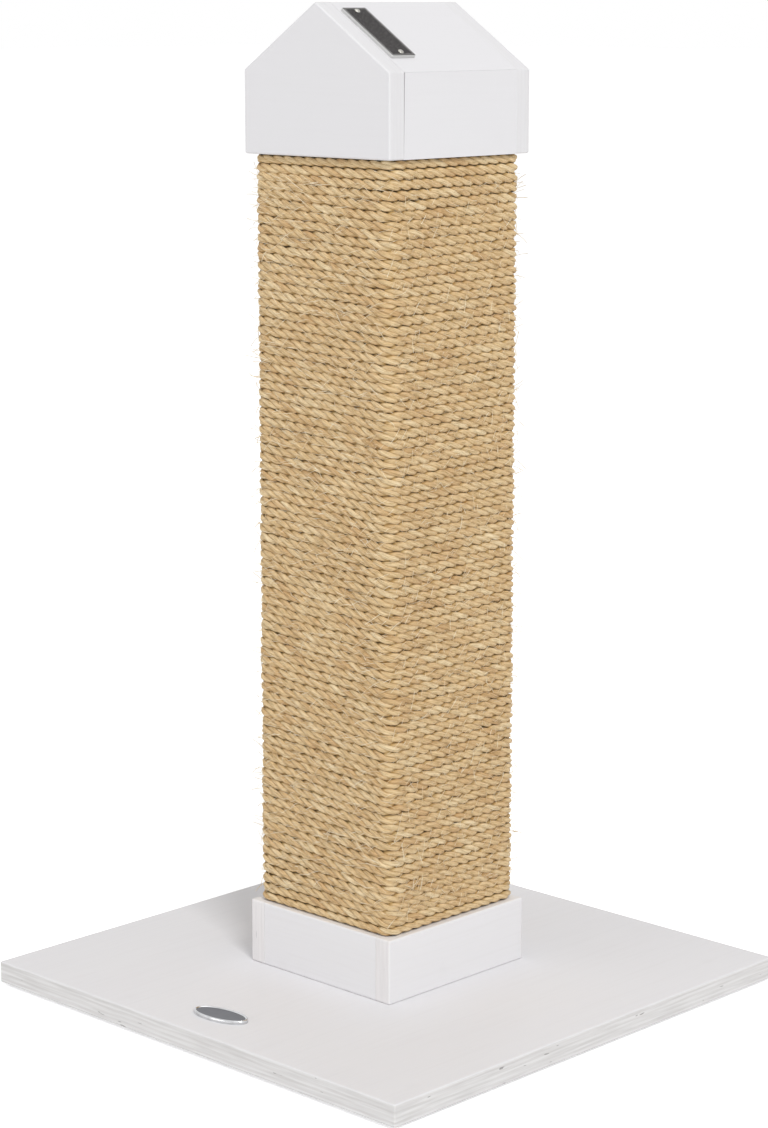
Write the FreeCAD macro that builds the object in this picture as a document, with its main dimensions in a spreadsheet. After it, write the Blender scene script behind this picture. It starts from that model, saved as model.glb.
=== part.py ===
import FreeCAD, Part
import math
import os
import Sketcher

# A cat scratching post: a square column wound with sisal rope, standing on a square
# board, with a boxed plinth at its foot and a small gabled cap at its top.
# The origin is the middle of the ground under the post, and +Z is up.
# The gables face -Y and +Y, and the ridge of the cap runs along Y.

# --- Driving sizes, in millimetres ------------------------------------------------

SIZES = {
    # ground and base board
    "foot_side": 28.0,
    "foot_thickness": 2.0,
    "foot_inset": 30.0,
    "base_side": 350.0,
    "base_thickness": 14.0,
    "edge_ease": 1.0,
    # boxed plinth
    "plinth_side": 122.4,
    "plinth_height": 40.8,
    "plinth_board": 12.0,
    "seam_ease": 0.5,
    # hollow square column
    "column_side": 104.0,
    "column_height": 470.6,
    "column_board": 12.0,
    "column_ease": 1.0,
    "end_block_height": 30.0,
    # gabled cap
    "cap_side": 122.0,
    "cap_eave_height": 50.2,
    "cap_rise": 40.0,
    "cap_board": 12.0,
    "roof_board": 12.0,
    "arris_ease": 0.8,
    "cap_block_height": 38.0,
    "glue_gap": 0.1,
    # sisal rope
    "rope_diameter": 6.0,
    "rope_spacing": 5.6,
    "rope_turn_gap": 0.45,
    "rope_wall_gap": 0.2,
    "rope_end_gap": 0.2,
    "rope_bend": 3.3,
    "rope_tuck": 8.0,
    "rope_step": 30.0,
    "notch_gap": 0.3,
    # one long bolt up through the board and the plinth into the column's foot
    "bolt_diameter": 8.0,
    "bolt_head": 16.0,
    "bolt_reach": 15.2,
    "bolt_gap": 0.4,
    "bolt_socket": 5.0,
    "bolt_socket_depth": 3.0,
    "insert_across": 13.0,
    "insert_length": 18.0,
    # two dowels between the column's head and the cap
    "dowel_offset": 26.0,
    "dowel_diameter": 8.0,
    "dowel_length": 40.0,
    "drill_gap": 0.15,
    # plain plate pinned to the roof
    "plate_width": 19.6,
    "plate_length": 49.6,
    "plate_thickness": 2.0,
    "plate_ease": 0.6,
    "plate_from_ridge": 9.4,
    "plate_from_gable": 13.4,
    "pin_inset": 3.7,
    "pin_head": 3.8,
    "pin_crown": 2.2,
    "pin_head_height": 1.1,
    "pin_shank": 1.4,
    "pin_depth": 7.0,
    # plain oval badge on the base board
    "badge_length": 40.0,
    "badge_width": 18.0,
    "badge_thickness": 2.4,
    "badge_rim": 1.6,
    "badge_recess": 0.5,
    "badge_from_edge": 28.5,
    "badge_from_middle": 2.0,
    "badge_turn": 7.5,
}

ROPE_PIECES = 4         # the winding is held as this many lengths, laid end to end
CORNER_STATIONS = 3     # places round each corner of the column where the rope's section is set
LOOP_STATIONS = 4 * CORNER_STATIONS + 2     # in one turn, with both ends of its step
QUARTER_TURN = 90.0     # degrees from one side of the column to the next
COUNTERSINK = 90.0      # degrees across a countersunk head
TOUCH = 0.001           # two places nearer than this are the same, in millimetres
FLAT = 1e-9             # four corners lie in one plane if the last is this near to it

doc = FreeCAD.newDocument("scratching_post")
sheet = doc.addObject("Spreadsheet::Sheet", "Sizes")
for row, (alias, value) in enumerate(SIZES.items(), 1):
    sheet.set("A%d" % row, alias)
    sheet.set("B%d" % row, repr(value))
    sheet.setAlias("B%d" % row, alias)
doc.recompute()

# Heights of the joints between the main stages, as sums of the driving sizes.
BASE_TOP = "(Sizes.foot_thickness + Sizes.base_thickness)"
PLINTH_TOP = "(%s + Sizes.plinth_height)" % BASE_TOP
COLUMN_TOP = "(%s + Sizes.column_height)" % PLINTH_TOP
EAVE = "(%s + Sizes.cap_eave_height)" % COLUMN_TOP
RIDGE = "(%s + Sizes.cap_rise)" % EAVE
ROOF_ANGLE = "atan(2 * Sizes.cap_rise / Sizes.cap_side)"

# The winding fills the column: a whole number of turns in each length, and their pitch.
ROPE_ROOM = "(Sizes.column_height - 2 * Sizes.rope_end_gap)"
TURNS_EACH = "round(%s / (Sizes.rope_spacing * %d))" % (ROPE_ROOM, ROPE_PIECES)
ROPE_PITCH = "((%s + Sizes.rope_turn_gap) / (%s * %d))" % (ROPE_ROOM, TURNS_EACH, ROPE_PIECES)
ROPE_HEIGHT = "(%s - Sizes.rope_turn_gap)" % ROPE_PITCH
# Each end of the rope goes into the back just outside the place where the turns step up.
TAIL_PLACE = "(Sizes.rope_step / 2 + Sizes.rope_diameter / 2 + Sizes.notch_gap)"

UP = FreeCAD.Vector(0, 0, 1)
parts = []


def number(expression):
    """Value of an expression written in the sheet's names."""
    return float(sheet.evalExpression(expression))


def place(piece, x="0", y="0", z="0"):
    """Bind a piece's position to three expressions."""
    for axis, expression in (("x", x), ("y", y), ("z", z)):
        piece.setExpression("Placement.Base." + axis, expression)


def new_body(label):
    """An empty body whose label names its node."""
    body = doc.addObject("PartDesign::Body", label)
    body.Label = label
    parts.append(body)
    return body


def origin_part(body, role):
    """One of the body's own origin planes or axes."""
    return next(item for item in body.Origin.OriginFeatures if item.Role == role)


def new_sketch(body, plane, name):
    sketch = body.newObject("Sketcher::SketchObject", name)
    sketch.AttachmentSupport = [(origin_part(body, plane), "")]
    sketch.MapMode = "FlatFace"
    return sketch


def bind(sketch, constraint, name, expression):
    """Add a named dimension to a sketch and drive it by an expression."""
    index = sketch.addConstraint(constraint)
    sketch.renameConstraint(index, name)
    sketch.setExpression("Constraints." + name, expression)


def outline(body, plane, name, corners):
    """Sketch a closed outline whose corners are pairs of expressions."""
    sketch = new_sketch(body, plane, name)
    spots = [(number(x), number(y)) for x, y in corners]
    count = len(spots)
    for this in range(count):
        start = FreeCAD.Vector(*spots[this], 0)
        end = FreeCAD.Vector(*spots[(this + 1) % count], 0)
        sketch.addGeometry(Part.LineSegment(start, end), False)
    for this in range(count):
        following = (this + 1) % count
        sketch.addConstraint(Sketcher.Constraint("Coincident", this, 2, following, 1))
    for this, (x, y) in enumerate(corners):
        across = Sketcher.Constraint("DistanceX", -1, 1, this, 1, spots[this][0])
        along = Sketcher.Constraint("DistanceY", -1, 1, this, 1, spots[this][1])
        bind(sketch, across, "x%d" % this, x)
        bind(sketch, along, "y%d" % this, y)
    return sketch


def rectangle(body, name, width, length):
    """Sketch a rectangle centred on the body's origin, from two expressions."""
    left, right = "-(%s) / 2" % width, "(%s) / 2" % width
    front, back = "-(%s) / 2" % length, "(%s) / 2" % length
    corners = [(left, front), (right, front), (right, back), (left, back)]
    return outline(body, "XY_Plane", name, corners)


def circles(body, name, spots, diameter):
    """Sketch round holes at places given as pairs of expressions."""
    sketch = new_sketch(body, "XY_Plane", name)
    up = FreeCAD.Vector(0, 0, 1)
    for this, (x, y) in enumerate(spots):
        centre = FreeCAD.Vector(number(x), number(y), 0)
        sketch.addGeometry(Part.Circle(centre, up, number(diameter) / 2), False)
        bind(sketch, Sketcher.Constraint("DistanceX", -1, 1, this, 3, centre.x), "x%d" % this, x)
        bind(sketch, Sketcher.Constraint("DistanceY", -1, 1, this, 3, centre.y), "y%d" % this, y)
        size = Sketcher.Constraint("Diameter", this, number(diameter))
        bind(sketch, size, "d%d" % this, diameter)
    return sketch


def pad(body, sketch, length, backwards=False):
    feature = body.newObject("PartDesign::Pad", "Pad")
    feature.Profile = sketch
    feature.setExpression("Length", length)
    feature.Reversed = backwards
    sketch.Visibility = False
    doc.recompute()
    return feature


def pocket(body, sketch, depth, upwards=True):
    """Cut a sketch into the body, and make sure that it took something away."""
    before = body.Shape.Volume
    feature = body.newObject("PartDesign::Pocket", "Pocket")
    feature.Profile = sketch
    feature.setExpression("Length", depth)
    feature.Reversed = upwards
    doc.recompute()
    if body.Shape.Volume >= before:
        raise RuntimeError("a pocket in %s cuts nothing" % body.Label)
    return feature


def bevel_edges(body, size, chosen):
    """Take the sharpness off the edges whose two ends both pass a test."""
    names = []
    for index, edge in enumerate(body.Shape.Edges, 1):
        ends = [vertex.Point for vertex in edge.Vertexes]
        if len(ends) == 2 and chosen(*ends):
            names.append("Edge%d" % index)
    base = body.Tip
    feature = body.newObject("PartDesign::Chamfer", "Bevel")
    feature.Base = (base, names)
    feature.setExpression("Size", size)
    doc.recompute()


def near(first, second):
    return abs(first - second) < TOUCH


# --- Fasteners --------------------------------------------------------------------

MIDDLE = [("0", "0")]
DOWEL_SPOTS = [("Sizes.dowel_offset", "0"), ("-Sizes.dowel_offset", "0")]
BOLT_HOLE = "Sizes.bolt_diameter + 2 * Sizes.bolt_gap"
DOWEL_HOLE = "Sizes.dowel_diameter + 2 * Sizes.drill_gap"
DOWEL_DEPTH = "Sizes.dowel_length / 2 + Sizes.drill_gap"


def countersunk_holes(body, name, spots, diameter, head, through, upwards):
    """Countersunk holes from the body's XY plane, all the way through."""
    sketch = circles(body, name, spots, diameter)
    doc.recompute()
    before = body.Shape.Volume
    hole = body.newObject("PartDesign::Hole", name + "Holes")
    hole.Profile = sketch
    hole.ThreadType = "None"
    hole.DepthType = "Dimension"
    hole.setExpression("Diameter", diameter)
    hole.setExpression("Depth", through)
    hole.HoleCutType = "Countersink"
    hole.HoleCutCustomValues = True
    hole.setExpression("HoleCutDiameter", head)
    hole.HoleCutCountersinkAngle = COUNTERSINK
    hole.DrillPoint = "Flat"
    hole.Reversed = upwards
    doc.recompute()
    if body.Shape.Volume >= before:
        raise RuntimeError("the holes in %s cut nothing" % body.Label)


def hexagon(across):
    """Six corners, as pairs of expressions, of a hexagon with this distance across its flats."""
    half = "(%s) / 2" % across
    corner = "(%s) / sqrt(3)" % across
    return [(corner, "0"), (corner + " / 2", half), ("-" + corner + " / 2", half),
            ("-" + corner, "0"), ("-" + corner + " / 2", "-" + half), (corner + " / 2", "-" + half)]


def turned(body, name, steps):
    """Turn a profile of (radius, height) pairs round the body's upright axis."""
    sketch = outline(body, "XZ_Plane", name, steps)
    feature = body.newObject("PartDesign::Revolution", name + "Turned")
    feature.Profile = sketch
    feature.ReferenceAxis = (sketch, ["V_Axis"])
    feature.Angle = 360
    doc.recompute()
    return feature


# --- Base board and its feet ------------------------------------------------------

def make_feet():
    """Square felt pads under the four corners of the base board."""
    reach = "(Sizes.base_side / 2 - Sizes.foot_inset)"
    side = "Sizes.foot_side"
    for across, x in (("left", "-"), ("right", "")):
        for along, y in (("front", "-"), ("back", "")):
            foot = doc.addObject("Part::Box", "foot_%s_%s" % (along, across))
            foot.Label = foot.Name
            foot.setExpression("Length", side)
            foot.setExpression("Width", side)
            foot.setExpression("Height", "Sizes.foot_thickness")
            place(foot, "%s%s - %s / 2" % (x, reach, side), "%s%s - %s / 2" % (y, reach, side))
            parts.append(foot)


def make_base_board():
    """Square plywood board with eased edges and a countersunk hole in its middle."""
    body = new_body("base_board")
    pad(body, rectangle(body, "Board", "Sizes.base_side", "Sizes.base_side"), "Sizes.base_thickness")
    bevel_edges(body, "Sizes.edge_ease", lambda start, end: True)
    head = "Sizes.bolt_head + 2 * Sizes.drill_gap"
    countersunk_holes(body, "Bolt", MIDDLE, BOLT_HOLE, head, "Sizes.base_thickness", True)
    place(body, z="Sizes.foot_thickness")


def make_bolt():
    """Countersunk socket bolt that clamps the board, the plinth and the column together."""
    body = new_body("base_bolt")
    shank = "Sizes.bolt_diameter / 2"
    head = "Sizes.bolt_head / 2"
    length = "Sizes.base_thickness + Sizes.plinth_height + Sizes.bolt_reach"
    steps = [("0", "0"), (head, "0"), (shank, "%s - %s" % (head, shank)), (shank, length), ("0", length)]
    turned(body, "Bolt", steps)
    socket = outline(body, "XY_Plane", "Socket", hexagon("Sizes.bolt_socket"))
    pocket(body, socket, "Sizes.bolt_socket_depth")
    place(body, z="Sizes.foot_thickness")


def make_insert():
    """Long hexagonal nut let into the foot of the column, for the bolt."""
    body = new_body("insert_nut")
    length = "Sizes.insert_length"
    pad(body, outline(body, "XY_Plane", "Nut", hexagon("Sizes.insert_across")), length)
    pocket(body, circles(body, "Thread", MIDDLE, "Sizes.bolt_diameter + 2 * Sizes.drill_gap"), length)
    place(body, z=PLINTH_TOP)


# --- Boxed plinth -----------------------------------------------------------------

def make_plinth():
    """Four boards round a block. The boards that face X run the full width."""
    side = "Sizes.plinth_side"
    board = "Sizes.plinth_board"
    half = number(side) / 2
    inner = half - number(board)
    top = number("Sizes.plinth_height")
    for name, sign in (("left", -1), ("right", 1)):
        body = new_body("plinth_board_" + name)
        pad(body, rectangle(body, "Board", board, side), "Sizes.plinth_height")
        outer = sign * number(board) / 2

        def arris(start, end):
            upright = near(start.x, outer) and near(end.x, outer) and near(start.y, end.y)
            upper = near(start.z, top) and near(end.z, top) and not near(start.x + end.x, -2 * outer)
            return upright and not near(start.z, end.z) or upper

        def seam(start, end):
            return near(start.x, -outer) and near(end.x, -outer) and not near(start.z, end.z)

        bevel_edges(body, "Sizes.edge_ease", arris)
        bevel_edges(body, "Sizes.seam_ease", seam)
        place(body, "%d * (%s - %s) / 2" % (sign, side, board), z=BASE_TOP)
    for name, sign in (("front", -1), ("back", 1)):
        body = new_body("plinth_board_" + name)
        pad(body, rectangle(body, "Board", "%s - 2 * %s" % (side, board), board), "Sizes.plinth_height")
        outer = sign * number(board) / 2

        def outer_top(start, end):
            return near(start.z, top) and near(end.z, top) and near(start.y, outer) and near(end.y, outer)

        def seam(start, end):
            at_end = near(abs(start.x), inner) and near(start.x, end.x) and not near(start.z, end.z)
            return at_end and near(start.y, outer)

        bevel_edges(body, "Sizes.edge_ease", outer_top)
        bevel_edges(body, "Sizes.seam_ease", seam)
        place(body, "0", "%d * (%s - %s) / 2" % (sign, side, board), BASE_TOP)


def make_plinth_block():
    """Block inside the plinth that carries the column, bored for the bolt."""
    body = new_body("plinth_block")
    side = "Sizes.plinth_side - 2 * Sizes.plinth_board - 2 * Sizes.glue_gap"
    pad(body, rectangle(body, "Block", side, side), "Sizes.plinth_height")
    pocket(body, circles(body, "Bolt", MIDDLE, BOLT_HOLE), "Sizes.plinth_height")
    place(body, z=BASE_TOP)


# --- Column -----------------------------------------------------------------------

def make_column():
    """Hollow square column of four boards, notched at both ends for the rope's tails."""
    side = "Sizes.column_side"
    board = "Sizes.column_board"
    for name, sign in (("left", -1), ("right", 1)):
        body = new_body("column_board_" + name)
        pad(body, rectangle(body, "Board", board, side), "Sizes.column_height")
        outer = sign * number(board) / 2

        def corner(start, end):
            return near(start.x, outer) and near(end.x, outer) and not near(start.z, end.z)

        bevel_edges(body, "Sizes.column_ease", corner)
        place(body, "%d * (%s - %s) / 2" % (sign, side, board), z=PLINTH_TOP)
    for name, sign in (("front", -1), ("back", 1)):
        body = new_body("column_board_" + name)
        pad(body, rectangle(body, "Board", "%s - 2 * %s" % (side, board), board), "Sizes.column_height")
        place(body, "0", "%d * (%s - %s) / 2" % (sign, side, board), PLINTH_TOP)
    notch_for_tails(body)


def notch_for_tails(body):
    """Notches in the top and bottom edges of the back board, where the rope goes in."""
    half = "(Sizes.rope_diameter / 2 + Sizes.notch_gap)"
    height = "(%s + Sizes.rope_end_gap + Sizes.notch_gap)" % ROPE_HEIGHT
    top = "Sizes.column_height"
    notches = (("Bottom", TAIL_PLACE, "0", height),
               ("Top", "-" + TAIL_PLACE, "%s - %s" % (top, height), top))
    for name, middle, low, high in notches:
        corners = [("%s - %s" % (middle, half), low), ("%s + %s" % (middle, half), low),
                   ("%s + %s" % (middle, half), high), ("%s - %s" % (middle, half), high)]
        sketch = outline(body, "XZ_Plane", name + "Notch", corners)
        before = body.Shape.Volume
        cut = body.newObject("PartDesign::Pocket", name + "NotchCut")
        cut.Profile = sketch
        cut.Midplane = True
        cut.setExpression("Length", "2 * Sizes.column_board")
        doc.recompute()
        if body.Shape.Volume >= before:
            raise RuntimeError("a notch cuts nothing")


def make_end_blocks():
    """Blocks glued inside the two ends of the column, bored for the bolt and the dowels."""
    side = "Sizes.column_side - 2 * Sizes.column_board - 2 * Sizes.glue_gap"
    height = "Sizes.end_block_height"
    foot = new_body("column_foot_block")
    pad(foot, rectangle(foot, "Block", side, side), height)
    seat = hexagon("Sizes.insert_across + 2 * Sizes.drill_gap")
    pocket(foot, outline(foot, "XY_Plane", "NutSeat", seat), "Sizes.insert_length + Sizes.glue_gap")
    place(foot, z=PLINTH_TOP)
    head = new_body("column_head_block")
    pad(head, rectangle(head, "Block", side, side), height, True)
    pocket(head, circles(head, "Dowels", DOWEL_SPOTS, DOWEL_HOLE), DOWEL_DEPTH, False)
    place(head, z=COLUMN_TOP)


def make_dowels():
    """Two beech dowels that key the cap to the head of the column."""
    body = new_body("cap_dowels")
    pad(body, circles(body, "Dowels", DOWEL_SPOTS, "Sizes.dowel_diameter"), "Sizes.dowel_length")
    place(body, z="%s - Sizes.dowel_length / 2" % COLUMN_TOP)


# --- Rope winding -----------------------------------------------------------------

ROPE_MIDDLE = "Sizes.column_side / 2 + Sizes.rope_wall_gap + Sizes.rope_diameter / 2"


def direction(degrees):
    angle = math.radians(degrees)
    return FreeCAD.Vector(math.cos(angle), math.sin(angle), 0)


def corner_stations():
    """Plan of the rope round the four corners of the column: (x and y, outward)."""
    corner_radius = number("Sizes.column_ease + Sizes.rope_wall_gap + Sizes.rope_diameter / 2")
    flat = number("Sizes.column_side / 2 - Sizes.column_ease")
    turn_by = QUARTER_TURN / (CORNER_STATIONS - 1)
    stations = []
    for corner, (x, y) in enumerate(((1, 1), (1, -1), (-1, -1), (-1, 1))):
        centre = FreeCAD.Vector(x * flat, y * flat, 0)
        for part in range(CORNER_STATIONS):
            outward = direction(QUARTER_TURN * (1 - corner) - turn_by * part)
            stations.append((centre + outward * corner_radius, outward))
    return stations


def tail(sign, height):
    """The end of the rope, bent through a right angle into its notch in the back board."""
    bend = number("Sizes.rope_bend")
    aside = sign * (number(TAIL_PLACE) + bend)
    centre = FreeCAD.Vector(aside, number(ROPE_MIDDLE) - bend, height)
    angles = [QUARTER_TURN * (1 + sign * share) for share in (0, 0.5, 1)]
    turned_in = [(centre + direction(angle) * bend, direction(angle)) for angle in angles]
    last, outward = turned_in[-1]
    inside = last - FreeCAD.Vector(0, number("Sizes.rope_tuck"), 0)
    return turned_in + [(inside, outward)]


def winding_rings(piece):
    """Six-sided sections along one length of the rope, from its lower end to its upper.

    Each turn lies level round the column and steps up to the next one on the back.
    """
    each, pitch = round(number(TURNS_EACH)), number(ROPE_PITCH)
    wide, tall = number("Sizes.rope_diameter") / 2, number(ROPE_HEIGHT) / 2
    low = number(PLINTH_TOP + " + Sizes.rope_end_gap") + tall + piece * each * pitch
    high = low + (each - 1) * pitch
    back = FreeCAD.Vector(0, number(ROPE_MIDDLE), 0)
    half_step = FreeCAD.Vector(number("Sizes.rope_step") / 2, 0, 0)
    backward = direction(QUARTER_TURN)
    corners = corner_stations()
    path = []
    for turn in range(each):
        level = UP * (low + pitch * turn)
        path.append((back + half_step + level, backward))
        path += [(spot + level, outward) for spot, outward in corners]
        path.append((back - half_step + level, backward))
    if piece == 0:
        path[:1] = tail(1, low)[::-1]
    else:
        path.insert(0, (back + UP * (low - pitch / 2), backward))
    if piece == ROPE_PIECES - 1:
        path[-1:] = tail(-1, high)
    else:
        path.append((back + UP * (high + pitch / 2), backward))
    section = [(wide, 0), (wide / 2, tall), (-wide / 2, tall),
               (-wide, 0), (-wide / 2, -tall), (wide / 2, -tall)]
    return [[point + outward * out + UP * up for out, up in section] for point, outward in path]


def skin(rings):
    """Close a row of sections into one solid: flat faces, split where a side twists."""
    faces = [Part.Face(Part.makePolygon(ring + ring[:1])) for ring in (rings[0], rings[-1])]
    for here, there in zip(rings, rings[1:]):
        for this in range(len(here)):
            other = (this + 1) % len(here)
            a, b, c, d = here[this], here[other], there[other], there[this]
            normal = (b - a).cross(d - a).normalize()
            if abs(normal.dot(c - a)) < FLAT:
                faces.append(Part.Face(Part.makePolygon([a, b, c, d, a])))
            else:
                faces.append(Part.Face(Part.makePolygon([a, b, c, a])))
                faces.append(Part.Face(Part.makePolygon([a, c, d, a])))
    shell = Part.makeShell(faces)
    shell.sewShape()
    solid = Part.makeSolid(Part.Shell(shell.Faces))
    if solid.Volume < 0:
        solid.reverse()
    return solid


def least_gap(rings):
    """Least distance between the corners of a section and those about one turn on."""
    least = math.inf
    for index, ring in enumerate(rings):
        for step in range(LOOP_STATIONS - 2, LOOP_STATIONS + 3):
            if index + step < len(rings):
                for corner in ring:
                    for other in rings[index + step]:
                        least = min(least, corner.distanceToPoint(other))
    return least


def make_rope():
    """The winding, as lengths that meet face to face in the middle of the back."""
    for index in range(ROPE_PIECES):
        rings = winding_rings(index)
        piece = doc.addObject("Part::Feature", "rope_winding_%d" % (index + 1))
        piece.Label = piece.Name
        piece.Shape = skin(rings)
        parts.append(piece)
        turns = round(number(TURNS_EACH))
        print("%s: %d turns, least gap to itself %.3f mm" % (piece.Label, turns, least_gap(rings)))


# --- Gabled cap -------------------------------------------------------------------

def make_gables():
    """Two five-sided boards that close the front and the back of the cap."""
    half = "Sizes.cap_side / 2"
    eave = "Sizes.cap_eave_height"
    peak = eave + " + Sizes.cap_rise"
    corners = [("-" + half, "0"), (half, "0"), (half, eave), ("0", peak), ("-" + half, eave)]
    thick = number("Sizes.cap_board")
    for name, sign in (("front", -1), ("back", 1)):
        body = new_body("gable_board_" + name)
        pad(body, outline(body, "XZ_Plane", "Gable", corners), "Sizes.cap_board", sign > 0)
        outer = sign * thick

        def rim(start, end):
            return near(start.y, outer) and near(end.y, outer)

        def seam(start, end):
            sides = near(abs(start.x), number(half)) and near(start.x, end.x)
            return sides and near(start.y, 0) and near(end.y, 0)

        bevel_edges(body, "Sizes.edge_ease", rim)
        bevel_edges(body, "Sizes.seam_ease", seam)
        place(body, "0", "%d * (Sizes.cap_side / 2 - Sizes.cap_board)" % sign, COLUMN_TOP)


# Where the roof board's underside meets the cap's side board, above the eave.
SLOPE = "(2 * Sizes.cap_rise / Sizes.cap_side)"
COSINE = "cos(%s)" % ROOF_ANGLE
SINE = "sin(%s)" % ROOF_ANGLE
CAP_LENGTH = "Sizes.cap_side - 2 * Sizes.cap_board"


def make_cap_sides():
    """Upright boards between the gables, their tops mitred to meet the roof."""
    half = "Sizes.cap_side / 2"
    eave = "Sizes.cap_eave_height"
    ease = "Sizes.arris_ease"
    meet = "%s + Sizes.cap_board * %s - Sizes.roof_board / %s" % (eave, SLOPE, COSINE)
    profile = [(half, "0"), (half, "%s - %s" % (eave, ease)),
               ("%s - %s * %s / 2" % (half, ease, COSINE), "%s + %s * (%s - 1) / 2" % (eave, ease, SINE)),
               (half + " - Sizes.cap_board", meet), (half + " - Sizes.cap_board", "0")]
    for name, sign in (("left", -1), ("right", 1)):
        body = new_body("cap_side_" + name)
        corners = [("%d * (%s)" % (sign, x), z) for x, z in profile]
        pad(body, outline(body, "XZ_Plane", "Side", corners), CAP_LENGTH)
        outer = sign * number(half)

        def seam(start, end):
            return near(start.x, outer) and near(end.x, outer) and not near(start.z, end.z)

        bevel_edges(body, "Sizes.seam_ease", seam)
        place(body, "0", "(%s) / 2" % CAP_LENGTH, COLUMN_TOP)


def make_roof():
    """Two roof boards, mitred at the eaves and cut upright where they meet at the ridge."""
    ease = "Sizes.arris_ease"
    thick = "Sizes.roof_board"
    reach = "(Sizes.cap_side / 2 / %s)" % COSINE
    lean = "%s * %s" % (thick, SLOPE)
    profile = [("%s * %s * %s" % (ease, SINE, SINE), "-%s * %s * %s" % (ease, SINE, COSINE)),
               (ease, "0"), ("%s - %s" % (reach, ease), "0"),
               ("%s - %s * (1 - %s) / 2" % (reach, ease, SINE), "-%s * %s / 2" % (ease, COSINE)),
               ("%s - Sizes.cap_board / %s + %s" % (reach, COSINE, lean), "-" + thick),
               (lean, "-" + thick)]
    for name, sign in (("left", -1), ("right", 1)):
        body = new_body("roof_board_" + name)
        corners = [("%d * (%s)" % (sign, u), w) for u, w in profile]
        pad(body, outline(body, "XZ_Plane", "Slope", corners), CAP_LENGTH)
        if sign > 0:
            drill_for_pins(body)
        lie_on_slope(body, sign)
        place(body, "0", "(%s) / 2" % CAP_LENGTH, RIDGE)


def lie_on_slope(body, sign):
    """Tilt a body so that its X axis runs down one slope of the roof."""
    body.Placement = FreeCAD.Placement(FreeCAD.Vector(), FreeCAD.Vector(0, sign, 0), number(ROOF_ANGLE))
    body.setExpression("Placement.Rotation.Angle", ROOF_ANGLE)


PIN_HOLE = "Sizes.pin_shank + 2 * Sizes.drill_gap"
PLATE_MIDDLE = "(Sizes.plate_from_gable + Sizes.plate_width / 2)"


def drill_for_pins(body):
    """Holes in the roof board under the two pins of the plate."""
    back = "-(Sizes.cap_side / 2 - Sizes.cap_board) - (Sizes.cap_side / 2 - %s)" % PLATE_MIDDLE
    first = "Sizes.plate_from_ridge + Sizes.pin_inset"
    second = "Sizes.plate_from_ridge + Sizes.plate_length - Sizes.pin_inset"
    sketch = circles(body, "PinHoles", [(first, back), (second, back)], PIN_HOLE)
    pocket(body, sketch, "Sizes.pin_depth - Sizes.plate_thickness + Sizes.glue_gap", False)


def make_cap_block():
    """Block inside the cap, bored for the dowels."""
    body = new_body("cap_block")
    side = "Sizes.cap_side - 2 * Sizes.cap_board - 2 * Sizes.glue_gap"
    pad(body, rectangle(body, "Block", side, side), "Sizes.cap_block_height")
    pocket(body, circles(body, "Dowels", DOWEL_SPOTS, DOWEL_HOLE), DOWEL_DEPTH)
    place(body, z=COLUMN_TOP)


# --- Plate, pins and badge --------------------------------------------------------

def make_plate():
    """Plain plate on the roof, with two pin holes on its centre line."""
    body = new_body("roof_plate")
    length = "Sizes.plate_length"
    pad(body, rectangle(body, "Plate", length, "Sizes.plate_width"), "Sizes.plate_thickness")
    bevel_edges(body, "Sizes.plate_ease", lambda start, end: not near(start.z, end.z))
    inset = "(%s / 2 - Sizes.pin_inset)" % length
    spots = [("-" + inset, "0"), (inset, "0")]
    pocket(body, circles(body, "PinHoles", spots, PIN_HOLE), "Sizes.plate_thickness")
    on_roof(body, "(Sizes.plate_from_ridge + %s / 2)" % length)


def on_roof(body, down):
    """Lay a body on the right slope, a distance down from the ridge."""
    lie_on_slope(body, 1)
    place(body, "%s * %s" % (down, COSINE), "%s - Sizes.cap_side / 2" % PLATE_MIDDLE,
          "%s - %s * %s" % (RIDGE, down, SINE))


def make_pins():
    """Two round-headed pins that hold the plate."""
    body = new_body("plate_pins")
    shank = "Sizes.pin_shank / 2"
    head = "Sizes.pin_head / 2"
    seat = "Sizes.plate_thickness"
    crown = "Sizes.pin_crown / 2"
    point = "%s - Sizes.pin_depth" % seat
    top = "%s + Sizes.pin_head_height" % seat
    steps = [("0", point), (shank, point), (shank, seat), (head, seat), (crown, top), ("0", top)]
    pin = turned(body, "Pin", steps)
    pattern = body.newObject("PartDesign::LinearPattern", "TwoPins")
    pattern.Originals = [pin]
    pattern.Direction = (origin_part(body, "X_Axis"), [""])
    pattern.setExpression("Length", "Sizes.plate_length - 2 * Sizes.pin_inset")
    pattern.Occurrences = 2
    body.Tip = pattern
    doc.recompute()
    on_roof(body, "(Sizes.plate_from_ridge + Sizes.pin_inset)")


def oval(name, shrink, low, height):
    """An upright oval prism, drawn in from the badge's outline by a margin."""
    edge = doc.addObject("Part::Ellipse", name + "_outline")
    edge.setExpression("MajorRadius", "Sizes.badge_length / 2 - " + shrink)
    edge.setExpression("MinorRadius", "Sizes.badge_width / 2 - " + shrink)
    edge.setExpression("Placement.Base.z", low)
    solid = doc.addObject("Part::Extrusion", name)
    solid.Base = edge
    solid.DirMode = "Custom"
    solid.Dir = FreeCAD.Vector(0, 0, 1)
    solid.setExpression("LengthFwd", height)
    solid.Solid = True
    return solid


def make_badge():
    """Plain oval badge with a raised rim, glued on the base board near its front edge."""
    thick = "Sizes.badge_thickness"
    blank = oval("badge_blank", "0", "0", thick)
    field = oval("badge_field", "Sizes.badge_rim", thick + " - Sizes.badge_recess", "Sizes.badge_thickness")
    badge = doc.addObject("Part::Cut", "base_badge")
    badge.Label = "base_badge"
    badge.Base = blank
    badge.Tool = field
    badge.Placement = FreeCAD.Placement(FreeCAD.Vector(), UP, number("Sizes.badge_turn"))
    badge.setExpression("Placement.Rotation.Angle", "Sizes.badge_turn")
    place(badge, "Sizes.badge_from_middle", "Sizes.badge_from_edge - Sizes.base_side / 2", BASE_TOP)
    parts.append(badge)


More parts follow.
